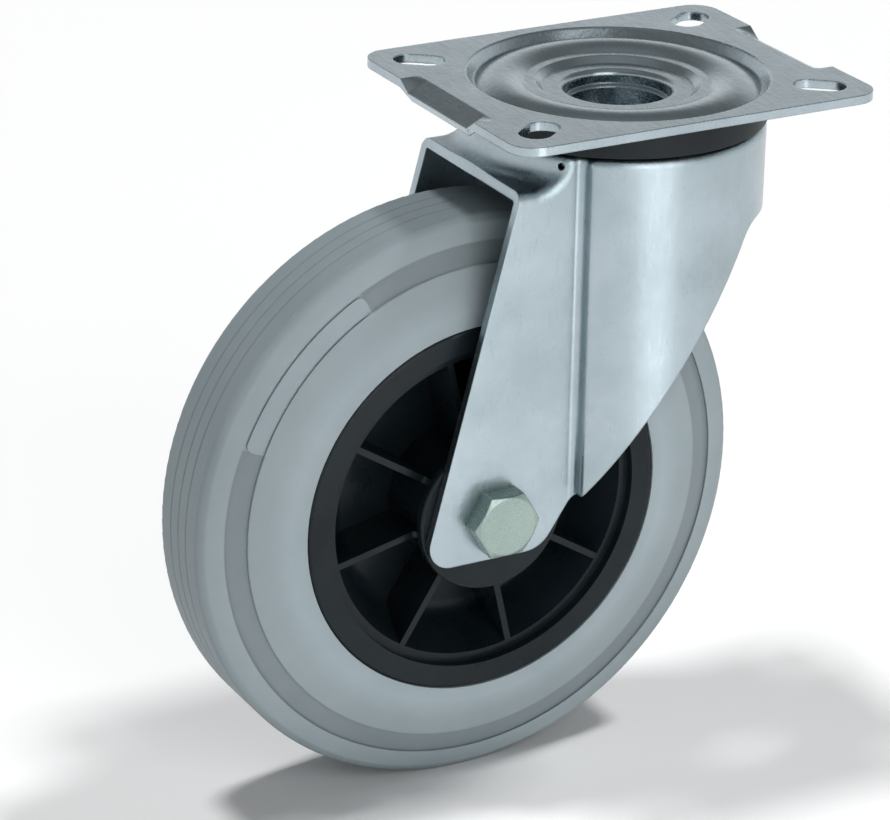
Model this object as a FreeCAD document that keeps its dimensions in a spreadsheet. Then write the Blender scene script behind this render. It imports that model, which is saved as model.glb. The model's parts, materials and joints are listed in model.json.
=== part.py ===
import FreeCAD, Part
import math
import os
import re
import Sketcher
from FreeCAD import Placement, Rotation, Vector

# Swivel castor with a 200 mm wheel: plate, double ball race, pressed fork, roller-bearing wheel.
# Frame: the origin is on the swivel axis at the top of the plate, +Z is up, the wheel trails towards -X.

# Driving dimensions in millimetres and degrees: name, value, meaning
SIZES = [
    ("plate_end_border", 16.6, "flat border of the plate ahead of and behind the pressed seat"),
    ("plate_side_border", 4.1, "flat border of the plate beside the pressed seat"),
    ("plate_gauge", 3.0, "sheet of the mounting plate"),
    ("plate_corner", 9.0, "corner radius of the plate"),
    ("lip_reach", 7.0, "width of the bent-down edge on each short side"),
    ("lip_angle", 27.0, "slope of the bent-down edge"),
    ("lip_flat", 39.0, "length of the edge that is bent fully down"),
    ("lip_span", 50.0, "length over its two triangular ends"),
    ("slot_margin", 15.0, "slot centres from the plate's edges"),
    ("slot_width", 11.0, "width of a bolt slot"),
    ("slot_travel", 6.5, "distance between the slot's end centres"),
    ("press_overhang", 0.5, "edge of the pressed bearing seat beyond the fork head"),
    ("press_edge", 1.0, "flat of the top face that belongs to the seat"),
    ("press_depth", 3.6, "depth of the seat's outer groove"),
    ("press_draft", 2.3, "slope of that groove's outer side"),
    ("press_floor", 0.6, "width of that groove's floor"),
    ("press_round", 0.8, "roundings of the pressed seat"),
    ("edge_round", 0.5, "small roundings"),
    ("crown_inside", 7.4, "foot of that bulge, inside the ball circle"),
    ("crown_rise", 1.3, "corner of the bulge over the upper balls, above the top face"),
    ("crown_round", 14.4, "rounding of that bulge"),
    ("ledge_depth", 2.8, "ledge inside the bulge"),
    ("ledge_width", 3.3, "width of that ledge"),
    ("mouth_depth", 4.8, "flat round the middle hole"),
    ("mouth_width", 4.3, "that flat beyond the collar"),
    ("mouth_step", 2.4, "width of the step from the flat up to the ledge"),
    ("mouth_round", 2.0, "rounding into the middle hole"),
    ("collar_radius", 20.6, "outside of the drawn collar, from which the seat spreads outwards"),
    ("collar_wall", 3.0, "wall of the collar at the top"),
    ("collar_swage", 1.5, "how much its bore narrows lower down"),
    ("collar_step", 9.4, "depth where it narrows"),
    ("rivet_flange", 4.4, "turned-out end of the collar beyond its outside"),
    ("rivet_height", 3.3, "thickness of the turned-out end"),
    ("upper_ball", 9.525, "diameter of an upper ball"),
    ("track_inset", 11.4, "upper ball circle inside the fork head's edge"),
    ("upper_level", 9.2, "centres of the upper balls below the top face"),
    ("upper_count", 24.0, "upper balls"),
    ("lower_ball", 7.938, "diameter of a lower ball"),
    ("track_offset", 6.4, "lower ball circle outside the collar"),
    ("lower_count", 20.0, "lower balls"),
    ("ball_clearance", 0.1, "gap between a ball and its track"),
    ("race_gauge", 3.0, "floor of the lower race"),
    ("race_margin", 6.0, "lower race beyond its ball circle"),
    ("race_rim", 1.6, "wall of the lower race"),
    ("track_depth", 1.1, "depth of its ball track"),
    ("ring_play", 2.8, "gap between the upper balls and the dust ring"),
    ("ring_overhang", 0.3, "dust ring beyond the fork head"),
    ("ring_lip", 0.7, "its lip round the seat's underside"),
    ("ring_fit", 0.1, "gap between the lip and the plate"),
    ("ring_gap", 0.3, "gap between the dust ring and the fork head"),
    ("fork_gauge", 3.2, "sheet of the fork"),
    ("head_drop", 4.0, "top of the fork head below the upper ball centres"),
    ("head_bend", 0.3, "inside radius of the bend round the top of the head"),
    ("head_clearance", 1.9, "gap between the collar and the hole in the head"),
    ("deck_drop", 10.3, "front deck of the fork below its head"),
    ("deck_bend", 1.0, "inside radius of the bend between the deck and the legs"),
    ("deck_blend", 7.0, "rounding between the deck and the head"),
    ("deck_overhang", 4.8, "front edge of the deck ahead of the head"),
    ("vent_width", 2.4, "small hole in the side of the head"),
    ("vent_drop", 3.8, "that hole below the top of the head"),
    ("vent_angle", 38.4, "that hole off the travel direction"),
    ("leg_gap", 59.0, "clear width between the legs"),
    ("crease_front", 31.5, "step between leg and skirt, ahead of the swivel axis"),
    ("crease_bend", 0.9, "tightest radius of that step's bends"),
    ("skirt_height", 29.8, "lower edge of the skirt at the back, below the head"),
    ("skirt_corner", 27.0, "where that edge turns down, behind the swivel axis"),
    ("skirt_round", 10.0, "rounding of that corner"),
    ("leg_slope", 0.264, "forward lean of the leg's front edge"),
    ("leg_foot", 14.3, "foot of the leg below the axle"),
    ("leg_heel", 16.5, "where the rear edge meets the foot, behind the axle"),
    ("leg_toe_round", 8.0, "front rounding of the foot"),
    ("leg_heel_round", 11.0, "rear rounding of the foot"),
    ("axle_trail", 60.0, "axle behind the swivel axis"),
    ("tyre_clearance", 8.3, "gap between the tyre and the deck's underside"),
    ("bolt_diameter", 14.0, "axle bolt"),
    ("bolt_clearance", 0.1, "radial gap round the bolt"),
    ("hex_flats", 21.0, "across the flats of bolt head and nut"),
    ("hex_head", 7.4, "height of the bolt head"),
    ("nut_height", 10.0, "height of the nut's hexagon"),
    ("nut_collar", 3.5, "round collar of the nut over its insert"),
    ("nut_wall", 1.3, "wall of that collar"),
    ("bolt_tail", 2.5, "bolt end beyond the nut"),
    ("wheel_diameter", 200.0, "over the tread"),
    ("tread_flat", 25.6, "width of the flat tread"),
    ("shoulder_width", 30.0, "width across the tyre's shoulders"),
    ("shoulder_drop", 2.5, "tread to shoulder"),
    ("shoulder_round", 1.6, "roundings of the shoulder"),
    ("line_count", 3.0, "fine grooves round the tread"),
    ("line_pitch", 5.6, "distance between them"),
    ("line_width", 0.9, "width of such a groove"),
    ("line_depth", 0.4, "depth of such a groove"),
    ("rim_radius", 65.0, "outside of the rim, where the tyre ends"),
    ("rim_width", 47.0, "width over the rim"),
    ("rim_flange", 3.0, "thickness of the rim's edge"),
    ("rim_round", 1.6, "rounding of the rim's outer edge"),
    ("band_setback", 8.7, "sunk band in the tyre's side, below the tread"),
    ("band_width", 7.3, "width of the sunk band"),
    ("band_depth", 0.8, "depth of the sunk band"),
    ("pad_gap", 0.8, "gap round the raised pad in the band"),
    ("pad_flat", 0.9, "straight part between the roundings of the pad's ends"),
    ("pad_sweep", 40.0, "angle that the pad covers"),
    ("pad_middle", 138.0, "angle of the pad's middle above the travel direction"),
    ("tyre_seat", 7.0, "depth of the tyre's seat in the rim"),
    ("rim_face", 8.2, "width of the rim's face"),
    ("dish_ledge", 3.3, "ledge between the rim's face and the dish"),
    ("dish_setback", 3.0, "that ledge behind the rim's face"),
    ("dish_draft", 8.0, "taper of the dish down to the web"),
    ("web_gauge", 4.0, "web of the wheel"),
    ("dish_round", 5.0, "rounding between the web and the dish"),
    ("hub_wall", 6.6, "wall of the hub at its end"),
    ("hub_draft", 2.5, "taper of the hub from the web to its end"),
    ("leg_clearance", 0.3, "gap between a hub cap and the leg"),
    ("rib_count", 8.0, "ribs on each side of the web"),
    ("rib_gauge", 2.2, "rib thickness"),
    ("rib_height", 20.5, "rib edge from the middle plane"),
    ("rib_ramp", 3.2, "width of a rib's rise to the hub's end"),
    ("rib_round", 2.0, "rounding at the foot of that rise"),
    ("rib_phase", 148.0, "angle of one rib above the travel direction"),
    ("sleeve_wall", 2.9, "wall of the axle sleeve"),
    ("roller_diameter", 5.0, "bearing roller"),
    ("roller_end", 2.9, "roller ends from the cage's ends"),
    ("roller_clearance", 0.1, "gap between a roller and its tracks"),
    ("roller_count", 8.0, "bearing rollers"),
    ("cage_wall", 3.0, "wall of the roller cage"),
    ("cage_play", 0.3, "gap between the cage and the hub caps"),
    ("cage_clearance", 0.2, "gap round a roller in its pocket"),
    ("cap_margin", 4.7, "hub cap beyond the hub's end"),
    ("cap_flange", 3.0, "flange of a hub cap"),
    ("cap_spigot", 2.0, "depth of a hub cap in the bore"),
    ("cap_clearance", 0.3, "gap between a hub cap and the sleeve"),
]

# Places and sizes that follow from the driving ones, each from those above it
FOLLOWING = {
    "mouth_radius": "(collar_radius + mouth_width)",
    "ledge_radius": "(mouth_radius + mouth_step)",
    "upper_track": "(ledge_radius + ledge_width + crown_inside)",
    "head_radius": "(upper_track + track_inset)",
    "ring_radius": "(head_radius + ring_overhang)",
    "press_boss": "(ring_radius - ring_lip - ring_fit)",
    "press_radius": "(head_radius + press_overhang)",
    "press_reach": "(press_radius + press_edge)",
    "press_under": "(press_depth + plate_gauge)",
    "plate_length": "(2 * (press_reach + plate_end_border))",
    "plate_width": "(2 * (press_reach + plate_side_border))",
    "slot_pitch_long": "(plate_length - 2 * slot_margin)",
    "slot_pitch_wide": "(plate_width - 2 * slot_margin)",
    "collar_bore": "(collar_radius - collar_wall)",
    "collar_neck": "(collar_bore - collar_swage)",
    "rivet_radius": "(collar_radius + rivet_flange)",
    "lower_track": "(collar_radius + track_offset)",
    "race_radius": "(lower_track + race_margin)",
    "head_bore": "(collar_radius + head_clearance)",
    "head_level": "(upper_level + head_drop)",
    "lower_level": "(head_level + fork_gauge + ball_clearance + lower_ball / 2)",
    "race_level": "(lower_level + lower_ball / 2 + ball_clearance + race_gauge)",
    "deck_level": "(head_level + deck_drop)",
    "deck_front": "(head_radius + deck_overhang)",
    "skirt_level": "(head_level + skirt_height)",
    "wheel_radius": "(wheel_diameter / 2)",
    "axle_level": "(deck_level + fork_gauge + tyre_clearance + wheel_radius)",
    "foot_level": "(axle_level + leg_foot)",
    "leg_face": "(leg_gap / 2 + fork_gauge)",
    "band_outer": "(wheel_radius - band_setback)",
    "band_inner": "(band_outer - band_width)",
    "pad_outer": "(band_outer - pad_gap)",
    "pad_inner": "(band_inner + pad_gap)",
    "pad_round": "((pad_outer - pad_inner - pad_flat) / 2)",
    "hex_corner": "(hex_flats / 2 / cos(30))",
    "nut_length": "(nut_height + nut_collar)",
    "tyre_base": "(rim_radius - tyre_seat)",
    "lip_inner": "(rim_radius - rim_face)",
    "dish_radius": "(lip_inner - dish_ledge)",
    "dish_floor": "(dish_radius - dish_draft)",
    "rim_half": "(rim_width / 2)",
    "sleeve_bore": "(bolt_diameter / 2 + bolt_clearance)",
    "sleeve_radius": "(sleeve_bore + sleeve_wall)",
    "roller_pitch": "(sleeve_radius + roller_clearance + roller_diameter / 2)",
    "hub_bore": "(roller_pitch + roller_diameter / 2 + roller_clearance)",
    "hub_tip": "(hub_bore + hub_wall)",
    "hub_root": "(hub_tip + hub_draft)",
    "cap_radius": "(hub_tip + cap_margin)",
    "cap_face": "(leg_gap / 2 - leg_clearance)",
    "hub_half": "(cap_face - cap_flange)",
    "cage_inner": "(roller_pitch - cage_wall / 2)",
    "cage_outer": "(roller_pitch + cage_wall / 2)",
    "cage_half": "(hub_half - cap_spigot - cage_play)",
    "roller_half": "(cage_half - roller_end)",
}
DRIVING = re.compile(r"\b(" + "|".join(name for name, value, meaning in SIZES) + r")\b")

doc = FreeCAD.newDocument("swivel_castor")
sheet = doc.addObject("Spreadsheet::Sheet", "Sizes")


def fill_sheet():
    """Write each driving dimension into its own named cell."""
    for row, (name, value, meaning) in enumerate(SIZES, start=1):
        sheet.set(f"A{row}", str(value))
        sheet.setAlias(f"A{row}", name)
        sheet.set(f"B{row}", meaning)
    doc.recompute()


# Small helpers

def bound(text):
    """Write an expression of sizes with the sheet's cells."""
    text = str(text)
    for name in reversed(FOLLOWING):
        text = re.sub(rf"\b{name}\b", FOLLOWING[name], text)
    return DRIVING.sub(r"Sizes.\1", text)


def number(text):
    """The present value of an expression of sizes."""
    value = sheet.evalExpression(bound(text))
    return float(getattr(value, "Value", value))


def bind(item, **expressions):
    """Bind properties of an object to expressions of sizes."""
    for name, text in expressions.items():
        item.setExpression(name, bound(text))


def put(item, x="0", y="0", z="0", turn=None):
    """Place an object, its position bound to sizes."""
    item.Placement = Placement(Vector(), turn or Rotation())
    for letter, text in (("x", x), ("y", y), ("z", z)):
        item.setExpression(f"Placement.Base.{letter}", bound(text))
    return item


def named(item, label):
    """Give a finished sub-part its node name."""
    item.Label = label
    return item


# Turns a piece made along Z so that its end points to -Y, or to +Y
TO_NEAR_LEG = Rotation(Vector(1, 0, 0), 90)
TO_FAR_LEG = Rotation(Vector(1, 0, 0), -90)

# Edges are picked by where they are, to this accuracy
SAME_PLACE = 0.01


# Sketches

def origin_feature(body, role):
    return next(item for item in body.Origin.OriginFeatures if item.Role == role)


def sketch_on(body, plane, name, offset="0"):
    """A sketch on one of a body's own origin planes, or parallel to it."""
    sketch = body.newObject("Sketcher::SketchObject", name)
    sketch.AttachmentSupport = (origin_feature(body, plane), [""])
    sketch.MapMode = "FlatFace"
    sketch.setExpression("AttachmentOffset.Base.z", bound(offset))
    return sketch


def fix_point(sketch, geometry, end, x, y):
    """Tie a sketch point's two coordinates to expressions of sizes."""
    for kind, text in (("DistanceX", x), ("DistanceY", y)):
        index = sketch.addConstraint(Sketcher.Constraint(kind, -1, 1, geometry, end, number(text)))
        sketch.setExpression(f"Constraints[{index}]", bound(text))


def fix_radius(sketch, geometry, text):
    index = sketch.addConstraint(Sketcher.Constraint("Radius", geometry, number(text)))
    sketch.setExpression(f"Constraints[{index}]", bound(text))


def corner_arc(before, corner, after, radius):
    """The arc that rounds a corner, and whether it turns left."""
    arriving = (corner - before).normalize()
    leaving = (after - corner).normalize()
    turn = math.atan2(arriving.cross(leaving).z, arriving.dot(leaving))
    reach = radius * math.tan(abs(turn) / 2)
    start = corner - arriving * reach
    side = Vector(-arriving.y, arriving.x, 0) * math.copysign(radius, turn)
    centre = start + side
    first = math.atan2(-side.y, -side.x)
    last = first + turn
    circle = Part.Circle(centre, Vector(0, 0, 1), radius)
    arc = Part.ArcOfCircle(circle, min(first, last), max(first, last))
    return arc, start, corner + leaving * reach, turn > 0


def outline(sketch, corners):
    """Close an outline through corners (x, y) or (x, y, rounding), all expressions of sizes."""
    corners = [tuple(corner) + ("0",) if len(corner) == 2 else tuple(corner) for corner in corners]
    spots = [Vector(number(x), number(y), 0) for x, y, rounding in corners]
    total = len(corners)
    rounded = {}
    for i, (x, y, rounding) in enumerate(corners):
        if number(rounding) > 0:
            rounded[i] = corner_arc(spots[i - 1], spots[i], spots[(i + 1) % total], number(rounding))
    lines = []
    for i in range(total):
        j = (i + 1) % total
        start = rounded[i][2] if i in rounded else spots[i]
        end = rounded[j][1] if j in rounded else spots[j]
        lines.append(sketch.addGeometry(Part.LineSegment(start, end), False))
    for i, (x, y, rounding) in enumerate(corners):
        arriving, leaving = lines[i - 1], lines[i]
        if i not in rounded:
            sketch.addConstraint(Sketcher.Constraint("Coincident", arriving, 2, leaving, 1))
            fix_point(sketch, leaving, 1, x, y)
            continue
        shape, start, end, left = rounded[i]
        arc = sketch.addGeometry(shape, False)
        near, far = (1, 2) if left else (2, 1)
        sketch.addConstraint(Sketcher.Constraint("Tangent", arriving, 2, arc, near))
        sketch.addConstraint(Sketcher.Constraint("Tangent", arc, far, leaving, 1))
        fix_radius(sketch, arc, rounding)
        mark = sketch.addGeometry(Part.Point(spots[i]), True)
        sketch.addConstraint(Sketcher.Constraint("PointOnObject", mark, 1, arriving))
        sketch.addConstraint(Sketcher.Constraint("PointOnObject", mark, 1, leaving))
        fix_point(sketch, mark, 1, x, y)


def round_hole(sketch, x, y, radius):
    """A full circle in a sketch."""
    centre = Vector(number(x), number(y), 0)
    circle = sketch.addGeometry(Part.Circle(centre, Vector(0, 0, 1), number(radius)), False)
    fix_point(sketch, circle, 3, x, y)
    fix_radius(sketch, circle, radius)


def long_hole(sketch, x, y, angle, travel, width):
    """A round-ended slot whose middle is at x, y."""
    radius = f"({width}) / 2"
    across = Vector(-math.sin(math.radians(number(angle))), math.cos(math.radians(number(angle))), 0)
    ends = []
    for sign in ("-", "+"):
        spot_x = f"{x} {sign} ({travel}) / 2 * cos({angle})"
        spot_y = f"{y} {sign} ({travel}) / 2 * sin({angle})"
        centre = Vector(number(spot_x), number(spot_y), 0)
        start = math.atan2(across.y, across.x) - (math.pi if sign == "+" else 0)
        circle = Part.Circle(centre, Vector(0, 0, 1), number(radius))
        arc = sketch.addGeometry(Part.ArcOfCircle(circle, start, start + math.pi), False)
        fix_point(sketch, arc, 3, spot_x, spot_y)
        fix_radius(sketch, arc, radius)
        ends.append((arc, centre))
    (left, left_centre), (right, right_centre) = ends
    reach = across * number(radius)
    top = sketch.addGeometry(Part.LineSegment(right_centre + reach, left_centre + reach), False)
    low = sketch.addGeometry(Part.LineSegment(left_centre - reach, right_centre - reach), False)
    for first, second in ((right, top), (top, left), (left, low), (low, right)):
        sketch.addConstraint(Sketcher.Constraint("Tangent", first, 2, second, 1))


# Features of a body

def new_body(label):
    body = doc.addObject("PartDesign::Body", label)
    return named(body, label)


def pad(body, sketch, length, middle=False):
    feature = body.newObject("PartDesign::Pad", "Pad")
    feature.Profile = sketch
    bind(feature, Length=length)
    feature.Midplane = middle
    sketch.Visibility = False
    return feature


def pocket(body, sketch, length, middle=False, back=False):
    feature = body.newObject("PartDesign::Pocket", "Pocket")
    feature.Profile = sketch
    bind(feature, Length=length)
    feature.Midplane = middle
    feature.Reversed = back
    return feature


def revolve(body, sketch, kind="PartDesign::Revolution", angle="360", middle=False):
    """Turn a sketch about its own upright axis."""
    feature = body.newObject(kind, "Turned")
    feature.Profile = sketch
    feature.ReferenceAxis = (sketch, ["V_Axis"])
    bind(feature, Angle=angle)
    feature.Midplane = middle
    return feature


def turned(label, plane, corners):
    """A body turned from one outline of (radius, height) corners."""
    body = new_body(label)
    sketch = sketch_on(body, plane, label + "_section")
    outline(sketch, corners)
    revolve(body, sketch)
    return body


def ring_groove(body, plane, radius, height, round_radius):
    """A round-bottomed groove, such as a ball track."""
    sketch = sketch_on(body, plane, "groove")
    round_hole(sketch, radius, height, round_radius)
    return revolve(body, sketch, "PartDesign::Groove")


# Mounting plate

def plate_outline(sketch):
    """The plate with a notch in each short side, where the bent edge joins."""
    edge, bend = "plate_length / 2", "(plate_length / 2 - lip_reach)"
    side, end = "plate_width / 2", "lip_span / 2"
    outline(sketch, [
        (edge, f"-{side}", "plate_corner"),
        (edge, f"-{end}"),
        (bend, f"-{end}"),
        (bend, end),
        (edge, end),
        (edge, side, "plate_corner"),
        (f"-{edge}", side, "plate_corner"),
        (f"-{edge}", end),
        (f"-{bend}", end),
        (f"-{bend}", f"-{end}"),
        (f"-{edge}", f"-{end}"),
        (f"-{edge}", f"-{side}", "plate_corner"),
    ])


def bent_edge(body):
    """One short side, bent down along its middle and flat again at the corners."""
    edge, bend = "plate_length / 2", "(plate_length / 2 - lip_reach)"
    drop = "lip_reach * tan(lip_angle)"
    flat = [(bend, "0"), (edge, "0"), (edge, "-plate_gauge"), (bend, "-plate_gauge")]
    bent = [
        (bend, "0"),
        (edge, f"-{drop}"),
        (f"{edge} - plate_gauge * sin(lip_angle)", f"-{drop} - plate_gauge * cos(lip_angle)"),
        (f"{bend} - plate_gauge * tan(lip_angle / 2)", "-plate_gauge"),
    ]
    sections = []
    for place, corners in (("lip_span", flat), ("lip_flat", bent), ("-lip_flat", bent), ("-lip_span", flat)):
        sketch = sketch_on(body, "XZ_Plane", "edge_section", f"{place} / 2")
        outline(sketch, corners)
        sections.append(sketch)
    loft = body.newObject("PartDesign::AdditiveLoft", "bent_edge")
    loft.Profile = sections[0]
    loft.Sections = sections[1:]
    loft.Ruled = True
    twin = body.newObject("PartDesign::Mirrored", "bent_edges")
    twin.Originals = [loft]
    twin.MirrorPlane = (origin_feature(body, "YZ_Plane"), [""])
    body.Tip = twin


def pressed_seat():
    """Section of the pressed bearing seat and its drawn collar, top face first."""
    ledge_under = "(ledge_depth + plate_gauge)"
    mouth_under = "(mouth_depth + plate_gauge)"
    rivet_end = "(race_level + rivet_height)"
    return [
        ("press_reach", "0"),
        ("press_radius", "0", "press_round"),
        ("press_radius - press_draft", "-press_depth", "edge_round"),
        ("press_radius - press_draft - press_floor", "-press_depth", "edge_round"),
        ("upper_track", "crown_rise", "crown_round"),
        ("upper_track - crown_inside", "-ledge_depth", "press_round"),
        ("ledge_radius", "-ledge_depth", "press_round"),
        ("mouth_radius", "-mouth_depth", "press_round"),
        ("collar_bore", "-mouth_depth", "mouth_round"),
        ("collar_bore", "-collar_step"),
        ("collar_neck", "-(collar_step + collar_swage / 2)"),
        ("collar_neck", "-race_level", "mouth_round"),
        ("collar_radius", f"-{rivet_end}"),
        ("rivet_radius", f"-{rivet_end}"),
        ("rivet_radius", "-race_level"),
        ("collar_radius", "-race_level"),
        ("collar_radius", f"-{mouth_under}"),
        ("mouth_radius", f"-{mouth_under}"),
        ("ledge_radius", f"-{ledge_under}"),
        ("upper_track", f"-{ledge_under}"),
        ("upper_track", "-press_under"),
        ("press_boss", "-press_under", "press_round"),
        ("press_boss", "-plate_gauge"),
        ("press_reach", "-plate_gauge"),
    ]


def make_top_plate():
    body = new_body("top_plate")
    sketch = sketch_on(body, "XY_Plane", "plate_outline")
    plate_outline(sketch)
    round_hole(sketch, "0", "0", "press_reach")
    plate = pad(body, sketch, "plate_gauge")
    plate.Reversed = True
    bent_edge(body)
    sketch = sketch_on(body, "XZ_Plane", "seat_section")
    outline(sketch, pressed_seat())
    revolve(body, sketch)
    ring_groove(body, "XZ_Plane", "upper_track", "-upper_level", "upper_ball / 2 + ball_clearance")
    slots = sketch_on(body, "XY_Plane", "bolt_slots")
    for side in ("", "-"):
        for end in ("", "-"):
            slant = "atan(slot_pitch_wide / slot_pitch_long)"
            turn = slant if side == end else f"(-1 * {slant})"
            long_hole(slots, f"{end}slot_pitch_long / 2", f"{side}slot_pitch_wide / 2", turn,
                      "slot_travel", "slot_width")
    pocket(body, slots, "plate_gauge * 3", middle=True)
    return body


def make_dust_ring():
    """A ring between plate and fork head, with a lip round the underside of the seat."""
    inner, lip = "(upper_track + upper_ball / 2 + ring_play)", "(press_boss + ring_fit)"
    top, bottom = "-(plate_gauge + ring_fit)", "-(head_level - ring_gap)"
    return turned("dust_ring", "XZ_Plane", [
        (inner, "-press_under"),
        (inner, bottom, "edge_round"),
        ("ring_radius", bottom, "edge_round"),
        ("ring_radius", top),
        (lip, top),
        (lip, "-press_under"),
    ])


def make_lower_race():
    """The cup that the plate's collar holds under the fork head."""
    floor = "-(race_level - race_gauge - track_depth)"
    rim = "-(lower_level + track_depth)"
    body = turned("lower_race", "XZ_Plane", [
        ("collar_radius", "-race_level"),
        ("race_radius", "-race_level", "mouth_round"),
        ("race_radius", rim),
        ("race_radius - race_rim", rim),
        ("race_radius - race_rim", floor),
        ("collar_radius", floor),
    ])
    ring_groove(body, "XZ_Plane", "lower_track", "-lower_level", "lower_ball / 2 + ball_clearance")
    return body


def ball_row(label, count, track, level, diameter):
    """Separate balls, evenly spaced round the swivel axis."""
    balls = []
    for i in range(int(number(count))):
        ball = doc.addObject("Part::Sphere", label + "_ball")
        bind(ball, Radius=f"{diameter} / 2")
        angle = f"({i} * 360 / {count})"
        put(ball, f"{track} * cos({angle})", f"{track} * sin({angle})", f"-{level}")
        balls.append(ball)
    row = doc.addObject("Part::Compound", label)
    row.Links = balls
    return named(row, label)


# Fork

def box(length, width, height, x, z):
    """A block centred across the castor, from x towards +X and from z upwards."""
    item = doc.addObject("Part::Box", "block")
    bind(item, Length=length, Width=width, Height=height)
    return put(item, x, f"-({width}) / 2", z)


def cylinder(radius, height, x="0", y="0", z="0", turn=None):
    item = doc.addObject("Part::Cylinder", "round")
    bind(item, Radius=radius, Height=height)
    return put(item, x, y, z, turn)


def joined(*items):
    item = doc.addObject("Part::MultiFuse", "joined")
    item.Shapes = list(items)
    item.Refine = True
    doc.recompute()
    return item


def common(base, tool):
    item = doc.addObject("Part::Common", "common")
    item.Base = base
    item.Tool = tool
    item.Refine = True
    doc.recompute()
    return item


def cut(base, *tools):
    item = doc.addObject("Part::Cut", "cut")
    item.Base = base
    item.Tool = tools[0] if len(tools) == 1 else joined(*tools)
    item.Refine = True
    doc.recompute()
    return item


def rounded(base, radius, wanted):
    """Round the edges of a shape that a test picks out."""
    doc.recompute()
    picked = [i for i, edge in enumerate(base.Shape.Edges, start=1) if wanted(edge)]
    item = doc.addObject("Part::Fillet", "rounded")
    item.Base = base
    item.Edges = [(i, number(radius), number(radius)) for i in picked]
    doc.recompute()
    return item


def middle(edge):
    """The point halfway along an edge."""
    return edge.valueAt((edge.FirstParameter + edge.LastParameter) / 2)


def lies_at(edge, x=None, y=None, z=None):
    """Whether an edge's ends and middle have the given coordinates, y taken on either side."""
    for spot in [vertex.Point for vertex in edge.Vertexes] + [middle(edge)]:
        for value, wanted in ((spot.x, x), (abs(spot.y), y), (spot.z, z)):
            if wanted is not None and abs(value - wanted) > SAME_PLACE:
                return False
    return True


def fork_form(inset, ridge_bend, head_bend, inner_crease, outer_crease):
    """The solid that the fork's sheet wraps, drawn in by the inset, with its bends."""
    radius = f"(head_radius - {inset})"
    half = f"(leg_face - {inset})"
    deck = f"-(deck_level + {inset})"
    top = f"-(head_level + {inset})"
    step = f"-(crease_front - {inset})"
    corner = f"sqrt({radius} ^ 2 - ({step}) ^ 2)"
    foot = "-(foot_level + leg_toe_round)"
    reach = "(axle_trail + 3 * leg_foot)"
    far = "2 * head_radius"

    legs = box(reach, f"2 * {half}", f"{deck} - ({foot})", f"-{reach}", foot)
    skirt = common(cylinder(radius, f"{top} - ({foot})", z=foot),
                   box(far, far, "axle_level * 2", step, foot))
    neck = common(cylinder(radius, f"{top} - ({deck}) + fork_gauge", z=f"{deck} - fork_gauge"),
                  box(far, f"2 * {half}", "axle_level", "-head_radius", f"{deck} - fork_gauge"))
    form = joined(legs, skirt, neck)

    half, deck, top, step, corner = map(number, (half, deck, top, step, corner))
    form = rounded(form, "deck_blend", lambda edge: (
        edge.Curve.TypeId == "Part::GeomCircle" and lies_at(edge, z=deck)))
    form = rounded(form, inner_crease, lambda edge: lies_at(edge, x=step, y=half))
    form = rounded(form, outer_crease, lambda edge: lies_at(edge, x=step, y=corner))
    form = rounded(form, ridge_bend, lambda edge: (
        lies_at(edge, y=half) and middle(edge).x < step
        and deck - SAME_PLACE < middle(edge).z < top - SAME_PLACE))
    return rounded(form, head_bend, lambda edge: lies_at(edge, z=top))


def side_profile():
    """Outline of the fork from the side, swept through its whole width."""
    sketch = doc.addObject("Sketcher::SketchObject", "fork_side")
    sketch.Placement = Placement(Vector(), TO_NEAR_LEG)
    outline(sketch, [
        ("-deck_front", "0"),
        ("-deck_front", "-deck_level"),
        ("-(deck_front + (foot_level - deck_level) * leg_slope)", "-foot_level", "leg_toe_round"),
        ("leg_heel - axle_trail", "-foot_level", "leg_heel_round"),
        ("skirt_corner", "-skirt_level", "skirt_round"),
        ("2 * head_radius", "-skirt_level"),
        ("2 * head_radius", "0"),
    ])
    item = doc.addObject("Part::Extrusion", "fork_side_sweep")
    item.Base = sketch
    item.DirMode = "Normal"
    item.Solid = True
    item.Symmetric = True
    bind(item, LengthFwd="4 * head_radius")
    doc.recompute()
    return item


def make_fork():
    """One deep-drawn sheet: round head, front deck, two legs and the half-round skirt."""
    crease = "(crease_bend + fork_gauge / 2)"
    outside = fork_form("0", "(deck_bend + fork_gauge)", "(head_bend + fork_gauge)", crease, crease)
    inside = fork_form("fork_gauge", "deck_bend", "head_bend", crease, "crease_bend")
    sheet_metal = cut(outside, inside)
    blank = common(sheet_metal, side_profile())
    bore = cylinder("head_bore", "deck_level", z="-deck_level")
    axle = cylinder("sleeve_bore", "4 * leg_gap", "-axle_trail", "2 * leg_gap",
                    "-axle_level", TO_NEAR_LEG)
    outwards = Rotation(Vector(0, 0, 1), 180 + number("vent_angle")) * Rotation(Vector(0, 1, 0), 90)
    vent = cylinder("vent_width / 2", "2 * head_radius", z="-(head_level + vent_drop)", turn=outwards)
    track = doc.addObject("Part::Torus", "ball_track")
    bind(track, Radius1="upper_track", Radius2="upper_ball / 2 + ball_clearance")
    put(track, z="-upper_level")
    return named(cut(blank, bore, axle, vent, track), "fork")


# Axle and wheel bearing

def hexagon(sketch):
    outline(sketch, [
        (f"hex_corner * cos({i} * 60)", f"hex_corner * sin({i} * 60)") for i in range(6)
    ])


def hex_chamfer(body, face, slant):
    """Cut the corners of a hexagon's end face back to a round."""
    inner = "(hex_flats / 2 - edge_round)"
    sketch = sketch_on(body, "XZ_Plane", "chamfer")
    outline(sketch, [
        (inner, face),
        ("hex_flats", f"{face} {slant} (hex_flats - {inner}) * tan(30)"),
        ("hex_flats", face),
    ])
    return revolve(body, sketch, "PartDesign::Groove")


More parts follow.
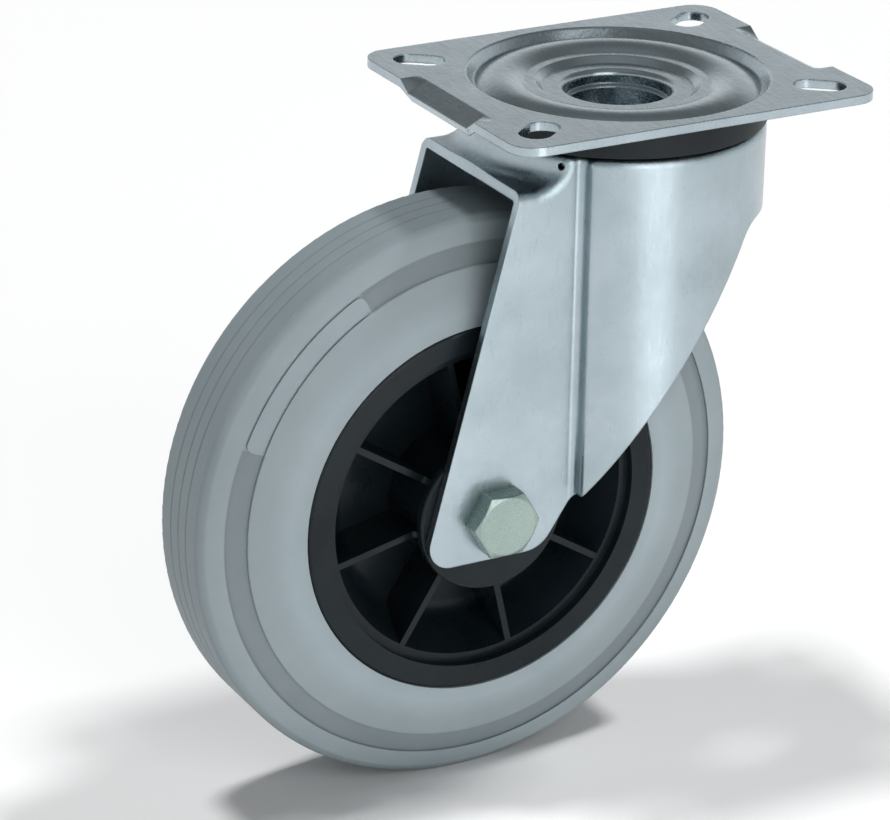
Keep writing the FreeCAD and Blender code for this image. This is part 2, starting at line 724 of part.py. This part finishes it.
def make_axle_bolt():
    """Hexagon bolt, made with the underside of its head at the origin and its shank upwards."""
    body = new_body("axle_bolt")
    sketch = sketch_on(body, "XY_Plane", "head")
    hexagon(sketch)
    head = pad(body, sketch, "hex_head")
    head.Reversed = True
    hex_chamfer(body, "-hex_head", "+")
    radius = "bolt_diameter / 2"
    length = "(2 * leg_face + nut_length + bolt_tail)"
    sketch = sketch_on(body, "XZ_Plane", "shank")
    outline(sketch, [
        ("0", "-hex_head / 2"),
        (radius, "-hex_head / 2"),
        (radius, f"{length} - bolt_tail / 2"),
        (f"{radius} - bolt_tail / 2", length),
        ("0", length),
    ])
    revolve(body, sketch)
    return put(body, "-axle_trail", "-leg_face", "-axle_level", TO_FAR_LEG)


def make_axle_nut():
    """Lock nut with a round collar that holds its plastic insert."""
    body = new_body("axle_nut")
    sketch = sketch_on(body, "XY_Plane", "hexagon")
    hexagon(sketch)
    pad(body, sketch, "nut_height")
    hex_chamfer(body, "nut_height", "-")
    hex_chamfer(body, "0", "+")
    outer = "(hex_flats / 2 - nut_wall)"
    sketch = sketch_on(body, "XZ_Plane", "collar")
    outline(sketch, [
        ("bolt_diameter / 2", "nut_height / 2"),
        (outer, "nut_height / 2"),
        (outer, "nut_length", "nut_wall / 2"),
        (f"{outer} - nut_wall", "nut_length"),
        (f"{outer} - nut_wall", "nut_height"),
        ("bolt_diameter / 2", "nut_height"),
    ])
    revolve(body, sketch)
    sketch = sketch_on(body, "XY_Plane", "thread")
    round_hole(sketch, "0", "0", "bolt_diameter / 2")
    pocket(body, sketch, "4 * nut_height", middle=True)
    return put(body, "-axle_trail", "leg_face", "-axle_level", TO_FAR_LEG)


def make_nut_insert():
    outer = "(hex_flats / 2 - 2 * nut_wall)"
    body = turned("nut_insert", "XZ_Plane", [
        ("bolt_diameter / 2", "nut_height"),
        (outer, "nut_height"),
        (outer, "nut_length - edge_round"),
        ("bolt_diameter / 2", "nut_length - edge_round"),
    ])
    return put(body, "-axle_trail", "leg_face", "-axle_level", TO_FAR_LEG)


def make_axle_sleeve():
    half = "(leg_gap / 2)"
    body = turned("axle_sleeve", "XY_Plane", [
        ("sleeve_bore", f"-{half}"),
        ("sleeve_radius - edge_round", f"-{half}"),
        ("sleeve_radius", f"-{half} + edge_round"),
        ("sleeve_radius", f"{half} - edge_round"),
        ("sleeve_radius - edge_round", half),
        ("sleeve_bore", half),
    ])
    return put(body, "-axle_trail", "0", "-axle_level")


def make_roller_cage():
    """A tube with one window for each roller."""
    body = turned("roller_cage", "XY_Plane", [
        ("cage_inner", "-cage_half"),
        ("cage_outer", "-cage_half"),
        ("cage_outer", "cage_half"),
        ("cage_inner", "cage_half"),
    ])
    sketch = sketch_on(body, "XY_Plane", "window")
    end = "(roller_half + cage_clearance)"
    outline(sketch, [
        ("sleeve_radius", f"-{end}"),
        ("hub_bore", f"-{end}"),
        ("hub_bore", end),
        ("sleeve_radius", end),
    ])
    window = pocket(body, sketch, "roller_diameter + 2 * cage_clearance", middle=True)
    windows = body.newObject("PartDesign::PolarPattern", "windows")
    windows.Originals = [window]
    windows.Axis = (origin_feature(body, "Y_Axis"), [""])
    bind(windows, Angle="360", Occurrences="roller_count")
    body.Tip = windows
    return put(body, "-axle_trail", "0", "-axle_level")


def make_rollers():
    """The bearing's rollers, each a node of its own."""
    for i in range(int(number("roller_count"))):
        angle = f"({i} * 360 / roller_count)"
        roller = cylinder("roller_diameter / 2", "2 * roller_half",
                          f"-axle_trail + roller_pitch * cos({angle})", "roller_half",
                          f"-axle_level + roller_pitch * sin({angle})", TO_NEAR_LEG)
        named(roller, f"roller_{i + 1}")


def make_hub_cap(label, side):
    """A cap pressed into one end of the hub; it closes the roller bearing."""
    hole = "sleeve_radius + cap_clearance"
    corners = [
        (hole, "hub_half - cap_spigot"),
        ("hub_bore", "hub_half - cap_spigot"),
        ("hub_bore", "hub_half"),
        ("cap_radius", "hub_half"),
        ("cap_radius", "cap_face", "cap_flange / 3"),
        (hole, "cap_face"),
    ]
    body = turned(label, "XY_Plane", corners)
    turn = Rotation(Vector(1, 0, 0), 180) if side < 0 else Rotation()
    return put(body, "-axle_trail", "0", "-axle_level", turn)


# Wheel

def mirrored(side):
    """The same corners on the other side of the middle plane, in reverse order."""
    return [(corner[0], f"-({corner[1]})") + corner[2:] for corner in reversed(side)]


def rim_section():
    """Half section of the moulded wheel body as (radius, side) corners, both sides."""
    mouth = "(rim_half - dish_setback)"
    side = [
        ("hub_bore", "hub_half"),
        ("hub_tip", "hub_half"),
        ("hub_root", "web_gauge / 2"),
        ("dish_floor", "web_gauge / 2", "dish_round"),
        ("dish_radius", mouth),
        ("lip_inner", mouth),
        ("lip_inner", "rim_half"),
        ("rim_radius", "rim_half", "rim_round"),
        ("rim_radius", "rim_half - rim_flange"),
        ("tyre_base", "rim_half - rim_flange - tyre_seat"),
    ]
    return side + mirrored(side)


def rib(body):
    """One stiffening rib across the dish, on both sides of the web."""
    sketch = sketch_on(body, "XY_Plane", "rib")
    side = [
        ("hub_tip - edge_round", "hub_half - edge_round"),
        ("hub_tip + edge_round", "hub_half - edge_round"),
        ("hub_tip + rib_ramp", "rib_height", "rib_round"),
        ("dish_radius + edge_round", "rib_height"),
    ]
    outline(sketch, side + mirrored(side))
    return pad(body, sketch, "rib_gauge", middle=True)


def make_wheel_rim():
    body = turned("wheel_rim", "XY_Plane", rim_section())
    first = rib(body)
    ribs = body.newObject("PartDesign::PolarPattern", "ribs")
    ribs.Originals = [first]
    ribs.Axis = (origin_feature(body, "Y_Axis"), [""])
    bind(ribs, Angle="360", Occurrences="rib_count")
    body.Tip = ribs
    turn = Rotation(Vector(0, 1, 0), -number("rib_phase"))
    return put(body, "-axle_trail", "0", "-axle_level", turn)


def side_place(radius):
    """Distance of the tyre's slanted side from the middle plane at a radius."""
    slope = "(rim_half - shoulder_width / 2) / (wheel_radius - shoulder_drop - rim_radius)"
    return f"(rim_half - ({radius} - rim_radius) * {slope})"


def tread_lines(body):
    """Fine grooves round the tread, evenly spaced about the middle."""
    sketch = sketch_on(body, "XY_Plane", "tread_lines")
    for i in range(int(number("line_count"))):
        place = f"({i} - (line_count - 1) / 2) * line_pitch"
        outline(sketch, [
            ("wheel_radius - line_depth", place),
            ("wheel_radius + line_depth", f"{place} - line_width"),
            ("wheel_radius + line_depth", f"{place} + line_width"),
        ])
    revolve(body, sketch, "PartDesign::Groove")


def side_band(sketch, sign, inner, outer, low, high):
    """Section of a ring in the tyre's slanted side, from one depth to another below its face."""
    outline(sketch, [
        (inner, f"{sign}({side_place(inner)} - {low})"),
        (outer, f"{sign}({side_place(outer)} - {low})"),
        (outer, f"{sign}({side_place(outer)} - {high})"),
        (inner, f"{sign}({side_place(inner)} - {high})"),
    ])


def raised_pad(sign):
    """A pad with rounded ends that fills the sunk band up to the tyre's face."""
    skin = new_body("pad_skin")
    sketch = sketch_on(skin, "XY_Plane", "pad_skin")
    side_band(sketch, sign, "pad_inner", "pad_outer", "2 * band_depth", "0")
    revolve(skin, sketch)
    block = new_body("pad_block")
    sketch = sketch_on(block, "XY_Plane", "pad_block")
    outline(sketch, [(radius, f"{sign}{side}") for radius, side in (
        ("pad_inner", "tread_flat / 4"),
        ("pad_outer", "tread_flat / 4"),
        ("pad_outer", "rim_half"),
        ("pad_inner", "rim_half"),
    )])
    revolve(block, sketch, angle="pad_sweep", middle=True)
    return common(skin, rounded(block, "pad_round", lambda edge: (
        abs(edge.tangentAt(edge.FirstParameter).y) > 1 - SAME_PLACE)))


def make_tyre():
    """The rubber tyre with a sunk band and a raised pad in each side."""
    side = [
        ("tyre_base", "rim_half - rim_flange - tyre_seat"),
        ("rim_radius", "rim_half - rim_flange"),
        ("rim_radius", "rim_half"),
        ("wheel_radius - shoulder_drop", "shoulder_width / 2", "shoulder_round"),
        ("wheel_radius", "tread_flat / 2", "shoulder_round"),
    ]
    body = turned("tyre_body", "XY_Plane", side + mirrored(side))
    bands = sketch_on(body, "XY_Plane", "bands")
    for sign in ("", "-"):
        side_band(bands, sign, "band_inner", "band_outer", "band_depth", "(-1 * band_depth)")
    revolve(body, bands, "PartDesign::Groove")
    tread_lines(body)
    tyre = joined(body, raised_pad(""), raised_pad("-"))
    turn = Rotation(Vector(0, 1, 0), -number("pad_middle"))
    return named(put(tyre, "-axle_trail", "0", "-axle_level", turn), "tyre")


# Build, check and write

NODES = [
    "top_plate", "dust_ring", "lower_race", "upper_balls", "lower_balls", "fork",
    "axle_bolt", "axle_nut", "nut_insert", "axle_sleeve",
    "wheel_rim", "tyre", "hub_cap_left", "hub_cap_right", "roller_cage",
]


def make_all():
    make_top_plate()
    make_dust_ring()
    make_lower_race()
    ball_row("upper_balls", "upper_count", "upper_track", "upper_level", "upper_ball")
    ball_row("lower_balls", "lower_count", "lower_track", "lower_level", "lower_ball")
    make_fork()
    make_axle_bolt()
    make_axle_nut()
    make_nut_insert()
    make_axle_sleeve()
    make_wheel_rim()
    make_tyre()
    make_hub_cap("hub_cap_left", 1)
    make_hub_cap("hub_cap_right", -1)
    make_roller_cage()
    make_rollers()
    doc.recompute()


def check_and_write():
    """Stop on any failed feature, then write each node's file."""
    nodes = NODES + [f"roller_{i + 1}" for i in range(int(number("roller_count")))]
    for item in doc.Objects:
        if "Invalid" in item.State or "Error" in item.State:
            raise RuntimeError(f"{item.Name} ({item.Label}) failed: {item.State}")
    pieces = {item.Label: item for item in doc.Objects if item.Label in nodes}
    for label in nodes:
        shape = pieces[label].Shape
        if shape.isNull() or not shape.isValid():
            raise RuntimeError(f"{label} has no valid shape")
        print(label, len(shape.Solids), round(shape.Volume, 1), [round(v, 2) for v in (
            shape.BoundBox.XMin, shape.BoundBox.XMax, shape.BoundBox.YMin,
            shape.BoundBox.YMax, shape.BoundBox.ZMin, shape.BoundBox.ZMax)])
    os.makedirs("parts", exist_ok=True)
    for label in nodes:
        pieces[label].Shape.exportStep(f"parts/{label}.step")


fill_sheet()
make_all()
check_and_write()
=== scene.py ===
import bpy
import json
import math
from mathutils import Matrix, Vector


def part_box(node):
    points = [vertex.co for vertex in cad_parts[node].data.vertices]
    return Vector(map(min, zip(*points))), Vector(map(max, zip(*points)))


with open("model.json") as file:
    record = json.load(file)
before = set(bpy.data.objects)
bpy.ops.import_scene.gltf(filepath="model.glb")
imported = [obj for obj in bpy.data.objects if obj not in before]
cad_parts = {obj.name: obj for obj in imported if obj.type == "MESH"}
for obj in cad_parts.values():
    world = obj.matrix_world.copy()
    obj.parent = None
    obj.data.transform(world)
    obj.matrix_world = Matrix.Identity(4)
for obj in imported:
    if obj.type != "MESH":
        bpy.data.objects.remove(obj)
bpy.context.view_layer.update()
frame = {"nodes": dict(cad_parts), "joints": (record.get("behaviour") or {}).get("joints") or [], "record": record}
nodes = frame["nodes"]

# Camera, found from the plate's corners, the rings, the axle and the tyre's outline
IMAGE_WIDTH = 890
FOCAL_PIXELS = 3805.1
SENSOR_WIDTH = 36.0
NEAREST, FARTHEST = 0.01, 50.0
CAMERA_PLACE = Vector((-0.6231, -1.0165, 0.3843))
CAMERA_AZIMUTH = math.radians(-28.88)
CAMERA_ELEVATION = math.radians(23.0)
CAMERA_ROLL = math.radians(1.05)

# Places on the object, from the frame
AXLE = next(Vector(joint["pos_m"]) for joint in frame["joints"] if joint["name"] == "wheel_spin")
FLOOR_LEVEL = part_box("tyre")[0][2]
OBJECT_MIDDLE = Vector((-0.04, 0.0, -0.12))

# Floor
FLOOR_REACH = 6.0
FLOOR_GREY = 0.93
FLOOR_ROUGHNESS = 0.9

# Suns over the castor: where each stands and its strength, and how soft their shadows are
SUNS = (((-0.14, 0.16, 1.0), 1.55), ((0.5, -0.1, 1.0), 1.4))
SUN_ANGLE = 0.14

# Soft boxes: place, aim, width and height, power
FRONT_BOX = ((0.0, -1.5, 0.6), OBJECT_MIDDLE, (1.1, 1.3), 7.0)
FRONT_STRIP = ((0.0, -0.33, -0.12), Vector((0.0, 0.0, -0.1)), (0.13, 0.23), 0.085)

# Light from all round
AMBIENT_COLOUR = (0.96, 0.98, 1.0)
AMBIENT = 0.15

# The mirrored room: height from the horizon (0) to straight up (1), and brightness
ROOM = ((0.0, 1.0), (0.3, 0.85), (0.42, 0.55), (0.52, 0.22), (0.8, 0.2), (1.0, 0.36))
ROOM_TINT = (0.97, 0.99, 1.0)

# Zinc: the radius of its worn edges, and painted shade in the nooks, where the base colour is darkened near other
# metal
EDGE_WEAR = 0.0007
PAINTED_SHADE_REACH = 0.024
PAINTED_SHADE_CLOSE, PAINTED_SHADE_OPEN = 0.25, 0.62
PAINTED_SHADE_LEVEL = 0.3
STEEL_PALE, STEEL_MIDDLE, STEEL_DARK = (0.42, 0.49, 0.53), (0.34, 0.41, 0.44), (0.34, 0.39, 0.42)
YELLOW_PALE, YELLOW_DARK = (0.33, 0.41, 0.38), (0.26, 0.33, 0.31)

# Moulded plastic
MOULDED_SHEEN = 0.2
BLACK_PALE, BLACK_DARK = (0.011, 0.018, 0.022), (0.006, 0.011, 0.014)

# Rings of painted sheen and shade on the tyre's side: distance from the axle and paleness, from the rim out to the
# tread; paler by the rim is painted sheen, darker in the sunk band and towards the tread is painted shade
SHADE_RINGS_START, SHADE_RINGS_END = 0.060, 0.102
SHEEN_AND_SHADE_INSIDE = ((0.0650, 0.92), (0.0701, 0.98), (0.0776, 0.84), (0.0835, 0.82))
SUNK_BAND_SHADE = ((0.0841, 0.60), (0.0911, 0.60))
PAD_FACE_SHADE = ((0.0860, 0.86), (0.0902, 0.86))
TREAD_SIDE_SHADE = ((0.0917, 0.84), (0.0970, 0.80), (0.0995, 0.62))
PAD_ANGLE = math.radians(138.0)
PAD_HALF_SWEEP = math.radians(20.0)


# Nodes

class Graph:
    """Nodes of a material or world, added one at a time and joined by name."""

    def __init__(self, tree):
        self.tree = tree

    def node(self, kind, **settings):
        item = self.tree.nodes.new("ShaderNode" + kind)
        for name, value in settings.items():
            setattr(item, name, value)
        return item

    def join(self, source, target):
        self.tree.links.new(source, target)

    def put(self, value, target):
        """A socket is joined, a colour gets its alpha, and any other value is set."""
        if isinstance(value, bpy.types.NodeSocket):
            self.join(value, target)
        elif target.type == "RGBA":
            target.default_value = (*value, 1.0)
        else:
            target.default_value = value

    def place(self, stretch=(1.0, 1.0, 1.0)):
        """Object coordinates, stretched for drawn or brushed textures."""
        coordinates = self.node("TexCoord")
        mapping = self.node("Mapping")
        self.put(stretch, mapping.inputs["Scale"])
        self.join(coordinates.outputs["Object"], mapping.inputs["Vector"])
        return mapping.outputs["Vector"]

    def noise(self, scale, detail=4.0, roughness=0.5, place=None):
        item = self.node("TexNoise")
        self.put(scale, item.inputs["Scale"])
        self.put(detail, item.inputs["Detail"])
        self.put(roughness, item.inputs["Roughness"])
        self.join(place or self.place(), item.inputs["Vector"])
        return item.outputs["Fac"]

    def spread(self, source, low, high, start=0.3, end=0.7):
        """Map a texture's values onto a range."""
        item = self.node("MapRange")
        self.put(start, item.inputs["From Min"])
        self.put(end, item.inputs["From Max"])
        self.put(low, item.inputs["To Min"])
        self.put(high, item.inputs["To Max"])
        self.join(source, item.inputs["Value"])
        return item.outputs["Result"]

    def blend(self, factor, first, second):
        """A colour between two others."""
        item = self.node("Mix", data_type="RGBA")
        self.join(factor, item.inputs["Factor"])
        self.put(first, item.inputs["A"])
        self.put(second, item.inputs["B"])
        return item.outputs["Result"]

    def tinted(self, colour, tint):
        """One colour multiplied by another."""
        item = self.node("Mix", data_type="RGBA", blend_type="MULTIPLY")
        self.put(1.0, item.inputs["Factor"])
        self.join(colour, item.inputs["A"])
        self.join(tint, item.inputs["B"])
        return item.outputs["Result"]

    def shades(self, source, stops, tint=(1.0, 1.0, 1.0)):
        """Levels of a tint at given values from 0 to 1."""
        item = self.node("ValToRGB")
        elements = item.color_ramp.elements
        while len(elements) < len(stops):
            elements.new(0.5)
        for element, (position, level) in zip(elements, stops):
            element.position = position
            element.color = (*(level * part for part in tint), 1.0)
        self.join(source, item.inputs["Fac"])
        return item.outputs["Color"]

    def math(self, operation, first, second):
        item = self.node("Math", operation=operation)
        self.put(first, item.inputs[0])
        self.put(second, item.inputs[1])
        return item.outputs["Value"]

    def vector(self, operation, first, second):
        item = self.node("VectorMath", operation=operation)
        self.put(first, item.inputs[0])
        self.put(second, item.inputs[1])
        return item.outputs["Vector"]

    def length(self, vector):
        item = self.node("VectorMath", operation="LENGTH")
        self.join(vector, item.inputs[0])
        return item.outputs["Value"]

    def share_along(self, vector, direction):
        """The cosine between a vector and a direction of length 1."""
        unit = self.node("VectorMath", operation="NORMALIZE")
        self.join(vector, unit.inputs[0])
        item = self.node("VectorMath", operation="DOT_PRODUCT")
        self.join(unit.outputs["Vector"], item.inputs[0])
        self.put(direction, item.inputs[1])
        return item.outputs["Value"]

    def bump(self, height, strength, distance, under=None):
        item = self.node("Bump")
        self.put(strength, item.inputs["Strength"])
        self.put(distance, item.inputs["Distance"])
        self.join(height, item.inputs["Height"])
        if under is not None:
            self.join(under, item.inputs["Normal"])
        return item.outputs["Normal"]

    def painted_nook_shade(self, reach, shade):
        """Painted shade: the base colour is darkened where other metal stands close, and left bright in the open.
        """
        item = self.node("AmbientOcclusion", samples=6)
        self.put(reach, item.inputs["Distance"])
        return self.spread(item.outputs["AO"], shade, 1.0, PAINTED_SHADE_CLOSE, PAINTED_SHADE_OPEN)

    def soft_edges(self, radius):
        """Normals that turn over sharp edges, as on tumbled and plated sheet."""
        item = self.node("Bevel", samples=6)
        self.put(radius, item.inputs["Radius"])
        return item.outputs["Normal"]


class Finish(Graph):
    """A material with one principled shader."""

    def __init__(self, name):
        self.material = bpy.data.materials.new(name)
        self.material.use_nodes = True
        super().__init__(self.material.node_tree)

    def set(self, **values):
        shader = self.tree.nodes["Principled BSDF"]
        for name, value in values.items():
            self.put(value, shader.inputs[name.replace("_", " ")])
        return self.material


# Camera and stage

def make_camera():
    """A camera at the photograph's viewpoint."""
    data = bpy.data.cameras.new("camera")
    data.sensor_width = SENSOR_WIDTH
    data.lens = FOCAL_PIXELS * SENSOR_WIDTH / IMAGE_WIDTH
    data.clip_start = NEAREST
    data.clip_end = FARTHEST
    camera = bpy.data.objects.new("camera", data)
    bpy.context.scene.collection.objects.link(camera)
    back = Vector((
        math.sin(CAMERA_AZIMUTH) * math.cos(CAMERA_ELEVATION),
        -math.cos(CAMERA_AZIMUTH) * math.cos(CAMERA_ELEVATION),
        math.sin(CAMERA_ELEVATION)))
    level = Vector((math.cos(CAMERA_AZIMUTH), math.sin(CAMERA_AZIMUTH), 0.0))
    upright = back.cross(level)
    right = level * math.cos(CAMERA_ROLL) + upright * math.sin(CAMERA_ROLL)
    up = back.cross(right)
    turn = Matrix((right, up, back)).transposed().to_4x4()
    camera.matrix_world = Matrix.Translation(CAMERA_PLACE) @ turn
    bpy.context.scene.camera = camera


def make_floor():
    """A plain pale floor under the tyre."""
    mesh = bpy.data.meshes.new("floor")
    sides = ((-1, -1), (1, -1), (1, 1), (-1, 1))
    corners = [(x * FLOOR_REACH, y * FLOOR_REACH, FLOOR_LEVEL) for x, y in sides]
    mesh.from_pydata(corners, [], [(0, 1, 2, 3)])
    floor = bpy.data.objects.new("floor", mesh)
    bpy.context.scene.collection.objects.link(floor)
    paper = Finish("floor_paper")
    mesh.materials.append(paper.set(
        Base_Color=(FLOOR_GREY, FLOOR_GREY, FLOOR_GREY),
        Roughness=FLOOR_ROUGHNESS,
        Specular_IOR_Level=0.0))


def add_light(data, direction):
    """Put a lamp in the scene, shining along a direction."""
    light = bpy.data.objects.new(data.name, data)
    light.rotation_euler = direction.to_track_quat("-Z", "Y").to_euler()
    bpy.context.scene.collection.objects.link(light)
    return light


def make_sun(source, power):
    """A sun that casts a shadow and isn't mirrored."""
    data = bpy.data.lights.new("sun", "SUN")
    data.energy = power
    data.angle = SUN_ANGLE
    add_light(data, -Vector(source)).visible_glossy = False


def make_soft_box(name, place, aim, size, power):
    """A soft rectangular studio light."""
    data = bpy.data.lights.new(name, "AREA")
    data.shape = "RECTANGLE"
    data.size, data.size_y = size
    data.energy = power
    light = add_light(data, aim - Vector(place))
    light.location = place
    return light


def make_lights():
    """Two suns for the shadow to either side, and soft boxes that the metal mirrors."""
    for source, power in SUNS:
        make_sun(source, power)
    make_soft_box("front_box", *FRONT_BOX)
    make_soft_box("front_strip", *FRONT_STRIP).visible_camera = False


def make_world():
    """A plain light from all round, and a room with a pale horizon for what mirrors or sees it."""
    world = bpy.data.worlds.new("studio")
    bpy.context.scene.world = world
    world.use_nodes = True
    world.node_tree.nodes.clear()
    graph = Graph(world.node_tree)
    lit = graph.node("Background")
    graph.put(AMBIENT_COLOUR, lit.inputs["Color"])
    graph.put(AMBIENT, lit.inputs["Strength"])
    split = graph.node("SeparateXYZ")
    graph.join(graph.node("TexCoord").outputs["Generated"], split.inputs[0])
    shown = graph.node("Background")
    graph.join(graph.shades(split.outputs["Z"], ROOM, ROOM_TINT), shown.inputs["Color"])
    path = graph.node("LightPath")
    seen = graph.math("MAXIMUM", path.outputs["Is Camera Ray"], path.outputs["Is Glossy Ray"])
    seen = graph.math("MAXIMUM", seen, path.outputs["Is Transmission Ray"])
    mix = graph.node("MixShader")
    graph.join(seen, mix.inputs["Fac"])
    graph.join(lit.outputs[0], mix.inputs[1])
    graph.join(shown.outputs[0], mix.inputs[2])
    graph.join(mix.outputs[0], graph.node("OutputWorld").inputs["Surface"])
    bpy.context.scene.view_settings.view_transform = "Standard"


# Materials

def zinc(name, pale, dark, smooth, rough, grain=(1.0, 1.0, 1.0)):
    """Bright zinc plate: faint clouds, fine drawing lines, a slight orange peel and worn edges, with painted shade
    darkening the colour in the nooks.
    """
    finish = Finish(name)
    clouds = finish.noise(45.0, detail=5.0, roughness=0.55)
    lines = finish.noise(900.0, detail=3.0, roughness=0.6, place=finish.place(grain))
    peel = finish.noise(420.0, detail=2.0)
    colour = finish.blend(finish.spread(clouds, 0.0, 1.0), dark, pale)
    drawn = finish.bump(lines, 0.12, 0.0001, finish.soft_edges(EDGE_WEAR))
    return finish.set(
        # painted shade: the base colour is darkened in nooks near other metal
        Base_Color=finish.tinted(colour, finish.painted_nook_shade(PAINTED_SHADE_REACH, PAINTED_SHADE_LEVEL)),
        Metallic=1.0,
        Roughness=finish.spread(lines, smooth, rough),
        Normal=finish.bump(peel, 0.25, 0.0002, drawn))


def polished(name, colour, roughness):
    """Ground and polished steel of the balls and rollers."""
    finish = Finish(name)
    smear = finish.noise(300.0, detail=3.0)
    return finish.set(
        Base_Color=colour,
        Metallic=1.0,
        Roughness=finish.spread(smear, roughness, roughness + 0.1))


def moulded(name, pale, dark, smooth, rough, grain):
    """Moulded plastic with a fine skin grain and slight gloss changes."""
    finish = Finish(name)
    flow = finish.noise(60.0)
    skin = finish.noise(grain, detail=2.0)
    return finish.set(
        Base_Color=finish.blend(finish.spread(flow, 0.0, 1.0), dark, pale),
        Roughness=finish.spread(flow, smooth, rough),
        Specular_IOR_Level=MOULDED_SHEEN,
        Normal=finish.bump(skin, 0.2, 0.0001))


def shade_ring_stops(middle):
    """The tyre's rings of painted sheen and shade as stops from 0 to 1, with the sunk band or the pad in the
    middle.
    """
    rings = SHEEN_AND_SHADE_INSIDE + middle + TREAD_SIDE_SHADE
    return [((radius - SHADE_RINGS_START) / (SHADE_RINGS_END - SHADE_RINGS_START), level) for radius, level in rings]


def tyre_sheen_and_shade(finish):
    """The tyre's rings of painted light: a painted sheen paler by the rim, and painted shade dark in the sunk band
    round the pad and on the tread.
    """
    from_axle = finish.vector("SUBTRACT", finish.place(), AXLE)
    flat = finish.vector("MULTIPLY", from_axle, (1.0, 0.0, 1.0))
    along = finish.spread(finish.length(flat), 0.0, 1.0, SHADE_RINGS_START, SHADE_RINGS_END)
    pad_direction = (math.cos(PAD_ANGLE), 0.0, math.sin(PAD_ANGLE))
    on_pad = finish.math("GREATER_THAN", finish.share_along(flat, pad_direction), math.cos(PAD_HALF_SWEEP))
    shade_beside_pad = finish.shades(along, shade_ring_stops(SUNK_BAND_SHADE))
    return finish.blend(on_pad, shade_beside_pad, finish.shades(along, shade_ring_stops(PAD_FACE_SHADE)))


def rubber(name, pale, dark):
    """Dull grey rubber with bloom, fine grain and rings of painted sheen and shade."""
    finish = Finish(name)
    bloom = finish.noise(38.0, detail=5.0, roughness=0.6)
    grain = finish.noise(1500.0, detail=3.0)
    colour = finish.blend(finish.spread(bloom, 0.0, 1.0), dark, pale)
    return finish.set(
        # painted sheen and shade: the colour is tinted in rings on the tyre's side
        Base_Color=finish.tinted(colour, tyre_sheen_and_shade(finish)),
        Roughness=finish.spread(bloom, 0.5, 0.68),
        Normal=finish.bump(grain, 0.25, 0.0001))


def make_materials():
    """One finish for each of the record's slots."""
    return {
        "plate_steel": zinc("plate_zinc", STEEL_PALE, STEEL_MIDDLE, 0.20, 0.30, grain=(1.0, 0.12, 1.0)),
        "fork_steel": zinc("fork_zinc", STEEL_PALE, STEEL_MIDDLE, 0.26, 0.36, grain=(1.0, 1.0, 0.12)),
        "race_steel": zinc("race_zinc", STEEL_MIDDLE, STEEL_DARK, 0.3, 0.4),
        "sleeve_steel": zinc("sleeve_zinc", STEEL_MIDDLE, STEEL_DARK, 0.3, 0.4),
        "bolt_zinc": zinc("bolt_yellow_zinc", YELLOW_PALE, YELLOW_DARK, 0.22, 0.34),
        "nut_zinc": zinc("nut_yellow_zinc", YELLOW_PALE, YELLOW_DARK, 0.22, 0.34),
        "ball_steel": polished("ball_polish", (0.75, 0.76, 0.78), 0.08),
        "roller_steel": polished("roller_polish", (0.72, 0.73, 0.75), 0.12),
        "insert_nylon": moulded("insert_skin", (0.75, 0.75, 0.7), (0.68, 0.68, 0.63), 0.4, 0.55, 900.0),
        "ring_dark": moulded("ring_skin", (0.014, 0.02, 0.023), (0.008, 0.012, 0.014), 0.4, 0.55, 900.0),
        "rim_plastic": moulded("rim_skin", BLACK_PALE, BLACK_DARK, 0.24, 0.36, 1200.0),
        "cap_plastic": moulded("cap_skin", BLACK_PALE, BLACK_DARK, 0.24, 0.36, 1200.0),
        "cage_plastic": moulded("cage_skin", (0.05, 0.05, 0.05), (0.03, 0.03, 0.03), 0.4, 0.5, 900.0),
        "tyre_rubber": rubber("tyre_rubber", (0.40, 0.475, 0.505), (0.345, 0.42, 0.45)),
    }


def dress():
    """Give every node the finish of its slot."""
    finishes = make_materials()
    for part in frame["record"]["subparts"]:
        for slot in nodes[part["node"]].material_slots:
            slot.material = finishes[part["material_slot"]]


make_camera()
make_floor()
make_lights()
make_world()
dress()
